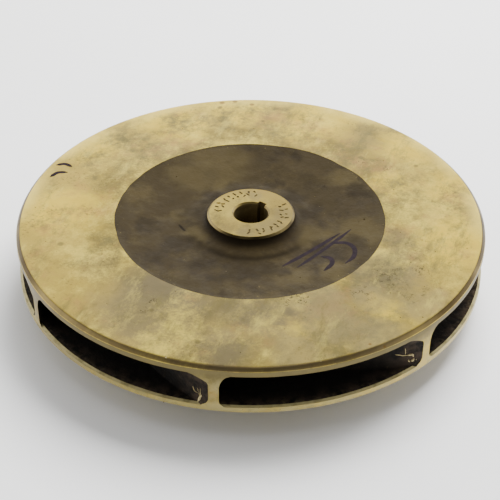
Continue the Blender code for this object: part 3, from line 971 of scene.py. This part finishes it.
def turned_bronze():
    # Tin bronze, faced on a lathe and then handled and wetted for years. The cut metal has dulled to a
    # khaki gold with paler, greener and a few pinker clouds of every size. It stays palest along the rim
    # and is greyest next to the dish and in front, where painted shade darkens it, and painted light makes
    # it paler at the back. Water has etched small dark squiggles into patches of it, larger pores have
    # smudges, and there is only a trace of the tool's rings. The chamfers of the rim and the hub, which
    # fingers and crates rub with dirt, are much browner, partly from painted shade. Painted shade also
    # darkens the front of the hub's chamfer and the top and left of the rim's band, and a painted
    # reflection of the bright floor lightens the band's foot.
    material, place = new_material("turned_tin_bronze")
    tree = place.id_data
    radius, height = from_axis(place)
    # The tool's feed of about 0.25 mm is too fine to show, so its rings are drawn 1.3 mm apart
    rings = lathe_lines(place, 1.3)
    normal = add(tree, "ShaderNodeNewGeometry").outputs["True Normal"]
    level = add(tree, "ShaderNodeSeparateXYZ", {0: normal}).outputs["Z"]
    flat = follow(level, (0.93, 0.0), (0.98, 1.0))
    slope = follow(level, (0.4, 0.0), (0.6, 1.0), (0.93, 1.0), (0.99, 0.0))
    side = follow(level, (0.2, 1.0), (0.4, 0.0))
    off_flat = follow(level, (0.85, 1.0), (0.93, 0.0))
    edge = overlap(flat, follow(radius, (155, 0.0), (169, 1.0)))
    inner = overlap(flat, follow(radius, (40, 0.0), (90, 0.75), (116, 0.75), (136, 0.0)))
    hub_face = overlap(flat, follow(radius, (33, 0.55), (36, 0.0)))
    hub_side = overlap(side, follow(radius, (40, 0.9), (60, 0.0)))
    band = overlap(side, follow(radius, (40, 0.0), (60, 0.9)))
    loose = wandering(place, 34, 12, 23.0)
    clusters = patches(place, 34, 0.50, 0.64, seed=21.0)
    specks = patches(place, 2.2, 0.57, 0.66, 0.5, seed=4.0, detail=2.0)
    squiggles = overlap(etched_lines(place, 7, 27.0), patches(place, 5, 0.40, 0.52, seed=28.0))
    values = {"Vector": place, "Rotation": (0.0, 0.0, WIPE_ANGLE), "Scale": (2.6, 1.0, 1.0)}
    wiped = add(tree, "ShaderNodeMapping", values, vector_type="TEXTURE")
    layers = (
        (inner, patches(place, 26, 0.30, 0.55, seed=29.0), "#75662F"),
        # Painted shade in front and painted light at the back, mixed with clouds of tarnish
        (spots(loose, 0.7, PAINTED_FRONT_SHADE), "#82765A"),
        (spots(loose, 0.5, DARK_CLOUDS_AND_FRONT_SHADE), "#7A6E46"),
        (spots(loose, 0.7, PALE_CLOUDS_AND_PAINTED_LIGHT), "#EACA3E"),
        (patches(place, 70, 0.46, 0.65, 0.9, 1.0, 8.0, 0.8), "#E6CE5C"),
        (patches(place, 60, 0.47, 0.64, 0.9, 2.0, 8.0, 0.82), "#746A3C"),
        (patches(place, 40, 0.50, 0.68, 0.55, 3.0, 6.0, 0.76), "#AF8448"),
        # More painted shade on the front of the face
        (spots(loose, 0.6, PAINTED_INNER_SHADE), "#72674A"),
        (spots(loose, 0.55, PAINTED_GREY_FRONT_SHADE), "#9C8D60"),
        (patches(wiped, 16, 0.50, 0.66, 0.65, 15.0, 7.0, 0.76), "#786D3C"),
        (patches(wiped, 14, 0.52, 0.68, 0.4, 16.0, 7.0, 0.76), "#E4D066"),
        (spots(loose, 0.9, ETCHED), squiggles, "#4E452B"),
        (clusters, specks, "#5C512D"),
        (edge, spots(loose, 0.85, PALE_EDGE), "#ECD268"),
        (side, patches(place, 20, 0.36, 0.6, 1.0, 24.0, 4.0, 0.7), "#9C8F60"),
        (side, patches(place, 7, 0.50, 0.66, 0.6, 12.0, 4.0, 0.7), "#70663F"),
        # Painted shade on the band's top and left, and a painted reflection of the bright floor at its foot
        (band, follow(height, (38, 0.0), (57, 1.0)), "#4C442C"),
        (side, follow(height, (50, 0.0), (55, 0.6)), "#665C3E"),
        (side, follow(height, (27, 0.3), (32, 0.0)), "#CCBC80"),
        (side, spots(place, 0.55, BAND_LEFT_SHADE), "#6A5C3E"),
        (hub_side, "#5E5136"),
        # The chamfers are browner, partly from rubbed dirt and partly from painted shade
        (slope, 0.8, "#6C5E44"),
        (slope, spots(place, 0.9, RUBBED), "#3E3116"),
        # Painted shadow on the front of the hub's chamfer
        (off_flat, spots(place, 0.85, HUB_FRONT_SHADOW), "#2A2216"),
        (hub_face, "#8A763E"),
        (spots(place, 0.6, HUB_SHADE), "#85764A"),
        (spots(place, 0.65, SMUDGES), "#655B34"),
        (spots(place, 0.7, STAINS), "#7C5A2A"),
    )
    values = {"Value": rings, "From Min": 0.3, "From Max": 0.7, "To Min": 0.35, "To Max": 0.4}
    shine = add(tree, "ShaderNodeMapRange", values)
    clouds = patches(place, 20, 0.45, 0.7, 0.1, 8.0)
    dull = add(tree, "ShaderNodeMath", {0: clouds, 1: shine}, operation="ADD")
    fine = patches(place, 0.9, 0.3, 0.7, seed=9.0)
    broad = patches(place, 9, 0.25, 0.75, seed=10.0)
    bumps = ((rings, 0.012), (fine, 0.02), (broad, 0.06))
    return finished(material, {"Metallic": 0.95, "Roughness": dull}, "#B89F44", layers, bumps)


# Where the cast dish is browner, duller, greased, scratched or painted with shade and shadow, in the same way
BROWN_CLOUDS = {
    54.0: ((50, 12, 18), (50, -150, 14), (46, -121, 13)),
    55.0: ((56, 148, 20),),
    56.0: ((80, 144, 34), (70, 166, 24)),
    57.0: ((90, -12, 16), (84, 24, 28), (86, 72, 18), (80, -30, 16)),
}
# Duller clouds: tarnish, and painted shade on the dish's front and on the collar's far slope
DULL_CLOUDS_AND_SHADE = {
    54.0: (
        (57, -88, 20), (58, -64, 20), (58, -42, 16), (67, -53, 17), (46, -154, 13), (66, -42, 14),
        (54, 104, 9), (45, 50, 14), (45, 82, 14), (46, 112, 11), (45, 174, 12), (46, 142, 14),
        (62, -112, 18), (64, 0, 15),
    ),
    56.0: ((86, 60, 14), (84, 14, 12), (74, -134, 12)),
    57.0: ((90, 104, 10),),
}
# Painted shade along the collar's step in front of the hub
COLLAR_FRONT_SHADE = {54.0: ((47, -54, 52),)}
# Painted shadow of the hub on the dish in front of it, and at 54.6 one grease spot
GREASE_AND_HUB_SHADOW = {
    54.5: ((40, -86, 11), (42, -74, 14), (42, -54, 14), (41, -36, 12)),
    54.6: ((42.7, -99.8, 1.8),),
}
SCRATCH = {53.9: (
    (52.9, -137.5, 1.0), (52.3, -136.0, 1.4), (51.8, -134.4, 1.6), (51.3, -132.8, 1.7),
    (50.8, -131.2, 1.6), (50.2, -129.6, 1.4),
)}


def sand_cast_bronze():
    # The same bronze as the sand left it, under years of oxide and oil: dark brown with soft clouds of
    # warmer and blacker tarnish, some of them painted shade on the dish's front and on the collar's far
    # slope. It is blackest round the foot of the hub, where dirt lies under painted shade, in front of the
    # hub and of its collar, where shadow and shade are painted, and in one scratch. It has bright specks
    # near the turned face, and bears a fine grit of the sand's grain.
    material, place = new_material("sand_cast_bronze_skin")
    radius, _ = from_axis(place)
    # Darker round the foot of the hub: dirt under painted shade
    corner = follow(radius, (33, 0.85), (38, 0.35), (44, 0.0))
    valley = follow(radius, (44, 0.0), (47.5, 0.7), (51, 0.0))
    border = follow(radius, (88, 0.0), (97, 1.0))
    loose = wandering(place, 30, 10, 41.0)
    layers = (
        (patches(place, 46, 0.46, 0.65, 0.65, 31.0, 7.0, 0.76), "#4D432A"),
        (patches(place, 40, 0.48, 0.65, 0.65, 32.0, 7.0, 0.76), "#251F16"),
        (spots(loose, 0.5, BROWN_CLOUDS), "#52482D"),
        # Tarnish and painted shade
        (spots(loose, 0.6, DULL_CLOUDS_AND_SHADE), "#211B11"),
        # Dirt and painted shade round the foot of the hub
        (corner, "#231C11"),
        # Painted shadow of the hub, and one grease spot
        (spots(place, 0.3, GREASE_AND_HUB_SHADOW), "#1F190E"),
        # Painted shade along the collar's step in front
        (valley, spots(place, 1.0, COLLAR_FRONT_SHADE), "#1F190E"),
        (spots(place, 0.85, SCRATCH), "#130E07"),
        (border, patches(place, 2.0, 0.64, 0.72, 0.9, 37.0), "#6C6038"),
    )
    values = {"Value": patches(place, 9, 0.3, 0.7, seed=38.0), "To Min": 0.55, "To Max": 0.68}
    rough = add(place.id_data, "ShaderNodeMapRange", values)
    looks = {"Metallic": 0.35, "Roughness": rough, "Specular IOR Level": 0.08}
    lumps = patches(place, 14, 0.2, 0.8, seed=39.0)
    # The sand's grains of about 0.3 mm are too fine to show, so their grit is drawn at 1.6 mm
    grit = patches(place, 1.6, 0.25, 0.75, seed=40.0)
    return finished(material, looks, "#372F1E", layers, ((lumps, 0.25), (grit, 0.03)))


def cored_bronze():
    # The walls of the flow passages, cast against a baked sand core and never touched since. Almost black,
    # partly with burnt core wash and pumped dirt and partly with painted shade deep in the passages, which
    # lightens to brown towards the outlets. Coarse and without any shine.
    material, place = new_material("cored_bronze_passage")
    radius, height = from_axis(place)
    # The painted shade lightens to brown towards the outlets
    outer = follow(radius, (156, 0.0), (170, 1.0))
    outlet = overlap(follow(radius, (164, 0.0), (169, 1.0)), follow(height, (28, 1.0), (31, 0.0)))
    layers = (
        (patches(place, 16, 0.48, 0.68, 0.7, 51.0), "#1A150E"),
        (patches(place, 5, 0.54, 0.72, 0.6, 52.0), "#241D13"),
        (outer, patches(place, 9, 0.36, 0.62, 0.8, 53.0), "#43372C"),
        (outlet, patches(place, 4, 0.46, 0.64, 0.5, 57.0), "#5A503B"),
        (patches(place, 2.2, 0.64, 0.76, 0.5, 54.0), "#4A3F2A"),
    )
    looks = {"Metallic": 0.1, "Roughness": 0.8, "Specular IOR Level": 0.2}
    lumps = patches(place, 7, 0.2, 0.8, seed=55.0)
    grit = patches(place, 1.5, 0.25, 0.75, seed=56.0)
    return finished(material, looks, "#110E0A", layers, ((lumps, 0.5), (grit, 0.12)))


def filed_bronze():
    # The lower lip of each outlet, broken back with a file and since tarnished to a khaki tan. The file's
    # fine marks catch a little light.
    material, place = new_material("filed_bronze_lip")
    layers = (
        (patches(place, 9, 0.45, 0.65, 0.7, 61.0), "#7B7148"),
        (patches(place, 2.5, 0.52, 0.7, 0.7, 62.0), "#A89B68"),
    )
    bumps = ((patches(place, 1.2, 0.3, 0.7, seed=63.0), 0.08),)
    return finished(material, {"Metallic": 0.7, "Roughness": 0.55}, "#AEA272", layers, bumps)


def bored_bronze():
    # The reamed bore and the broached keyway, brown with old grease that the shaft left, and darker than the
    # turned faces as painted shade inside the bore.
    material, place = new_material("reamed_bronze_bore")
    layers = (
        (patches(place, 8, 0.45, 0.65, 0.8, 71.0), "#5C4F30"),
        (patches(place, 3, 0.55, 0.7, 0.6, 72.0), "#8C7A4E"),
    )
    bumps = ((patches(place, 1.0, 0.3, 0.7, seed=73.0), 0.04),)
    return finished(material, {"Metallic": 0.6, "Roughness": 0.5}, "#746541", layers, bumps)


def pitted_bronze():
    # The inside of gas pits and punch marks, where dirt stays: brown and dull.
    material, place = new_material("dirt_filled_bronze_pit")
    layers = ((patches(place, 1.5, 0.4, 0.6, 0.8, 81.0), "#463A22"),)
    return finished(material, {"Metallic": 0.3, "Roughness": 0.7}, "#5E5030", layers)


def worn_bronze():
    # Fresh metal in dents and on the core fins, rubbed bright by handling: a paler, shinier gold.
    material, place = new_material("rubbed_bronze")
    layers = ((patches(place, 1.8, 0.4, 0.62, 0.7, 91.0), "#A08E60"),)
    return finished(material, {"Metallic": 0.8, "Roughness": 0.5}, "#C9B988", layers)


def marker_ink():
    # Dark violet felt marker on bare metal, worn thin along the stroke so that some brown shows through.
    material, place = new_material("violet_marker_ink")
    layers = (
        (patches(place, 5, 0.42, 0.62, 0.6, 95.0), "#241920"),
        (patches(place, 1.6, 0.55, 0.7, 0.5, 96.0), "#2E251F"),
    )
    return finished(material, {"Roughness": 0.7, "Specular IOR Level": 0.15}, "#180F14", layers)


def floor_card():
    # Matt white card: it only has to stay out of the way.
    material, place = new_material("matt_white_card")
    layers = ((patches(place, 400, 0.4, 0.6, 0.5, 99.0), "#F1F1EF"),)
    return finished(material, {"Roughness": 0.9}, "#F6F6F5", layers)


# Studio


CAMERA_TURN = radians(35.8)
CAMERA_BACK = 790.2 * MM
CAMERA_Z = RIM_BOTTOM_Z + 587.6 * MM
CAMERA_PITCH = radians(36.41)
CAMERA_YAW = radians(0.038)
CAMERA_ROLL = radians(0.335)
CAMERA_LENS = 94.07

# The room: white walls, brightest behind the table, which end under a dark ceiling with a skylight
BACK_WALL_LIGHT = 3.0
FRONT_WALL_LIGHT = 0.7
CEILING_SHARE = 0.08
WALL_TOP = radians(31)
CEILING_FROM = radians(47)
SKYLIGHT = 2.0
SKYLIGHT_FROM = radians(72)
SKYLIGHT_FULL = radians(80)
LAMP_AIM = Vector((0, 0, 30 * MM))
# How far back the walls start and stop to brighten, from -1 at the front to 1 at the back
BRIGHTENS_FROM = -0.5
BRIGHTENS_TO = 0.4


def room():
    """White walls up to shoulder height and a dim ceiling, lit from behind the table and from above."""
    world = bpy.data.worlds.new("white_walled_room")
    world.use_nodes = True
    tree = world.node_tree
    direction = add(tree, "ShaderNodeTexCoord").outputs["Generated"]
    height = add(tree, "ShaderNodeSeparateXYZ", {0: direction}).outputs["Z"]
    values = {0: direction, 1: (-sin(CAMERA_TURN), cos(CAMERA_TURN), 0.0)}
    backward = add(tree, "ShaderNodeVectorMath", values, operation="DOT_PRODUCT").outputs["Value"]
    walls = follow(height, (sin(WALL_TOP), 1.0), (sin(CEILING_FROM), CEILING_SHARE))
    side = follow(backward, (BRIGHTENS_FROM, FRONT_WALL_LIGHT), (BRIGHTENS_TO, BACK_WALL_LIGHT))
    skylight = follow(height, (sin(SKYLIGHT_FROM), 0.0), (sin(SKYLIGHT_FULL), SKYLIGHT))
    light = add(tree, "ShaderNodeMath", {0: walls, 1: side, 2: skylight}, operation="MULTIPLY_ADD")
    feed(tree, tree.nodes["Background"], {"Strength": light, "Color": srgb("#FFFFFF")})
    bpy.context.scene.world = world


def softbox(name, place, size, power):
    """A square soft light, its place turned with the camera, that points at the impeller."""
    light = bpy.data.lights.new(name, "AREA")
    light.size = size
    light.energy = power
    lamp = put(name, light)
    lamp.location = Matrix.Rotation(CAMERA_TURN, 3, "Z") @ Vector(place)
    lamp.rotation_euler = (LAMP_AIM - lamp.location).to_track_quat("-Z", "Y").to_euler()
    return lamp


def studio():
    """The floor, the room's light and one overhead softbox."""
    bm = bmesh.new()
    bmesh.ops.create_grid(bm, x_segments=1, y_segments=1, size=4.0)
    bmesh.ops.translate(bm, vec=(0.0, 0.0, cad_box[0].z), verts=bm.verts)
    new_object("studio_floor", bm, [floor_card()])
    room()
    overhead = softbox("softbox_overhead", (0.5, 0.9, 1.5), 1.2, 95.0)
    # It lights the table and stays out of the metal's reflections, as through a polarising filter
    overhead.visible_glossy = False


def camera():
    """The camera of the photo, as the outlines of the rim, the hub and the bore place it."""
    lens = bpy.data.cameras.new("camera")
    lens.sensor_width = 36.0
    lens.lens = CAMERA_LENS
    lens.clip_end = 20.0
    made = put("camera", lens)
    spot = Matrix.Rotation(CAMERA_TURN, 4, "Z") @ Matrix.Translation((0.0, -CAMERA_BACK, CAMERA_Z))
    pitched = Matrix.Rotation(CAMERA_YAW, 4, "Z") @ Matrix.Rotation(pi / 2 - CAMERA_PITCH, 4, "X")
    made.matrix_world = spot @ pitched @ Matrix.Rotation(CAMERA_ROLL, 4, "Z")
    bpy.context.scene.camera = made


def main():
    camera()
    studio()
    finishes = {
        "cast": sand_cast_bronze(),
        "cored": cored_bronze(),
        "filed": filed_bronze(),
        "turned": turned_bronze(),
        "bored": bored_bronze(),
        "pit": pitted_bronze(),
        "worn": worn_bronze(),
    }
    whole = casting(finishes)
    fins = core_fins(whole, finishes["worn"])
    marks = inspection_marks(whole, marker_ink())
    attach(whole, "root")
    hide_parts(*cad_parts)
    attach(fins, "root")
    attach(marks, "root")


main()
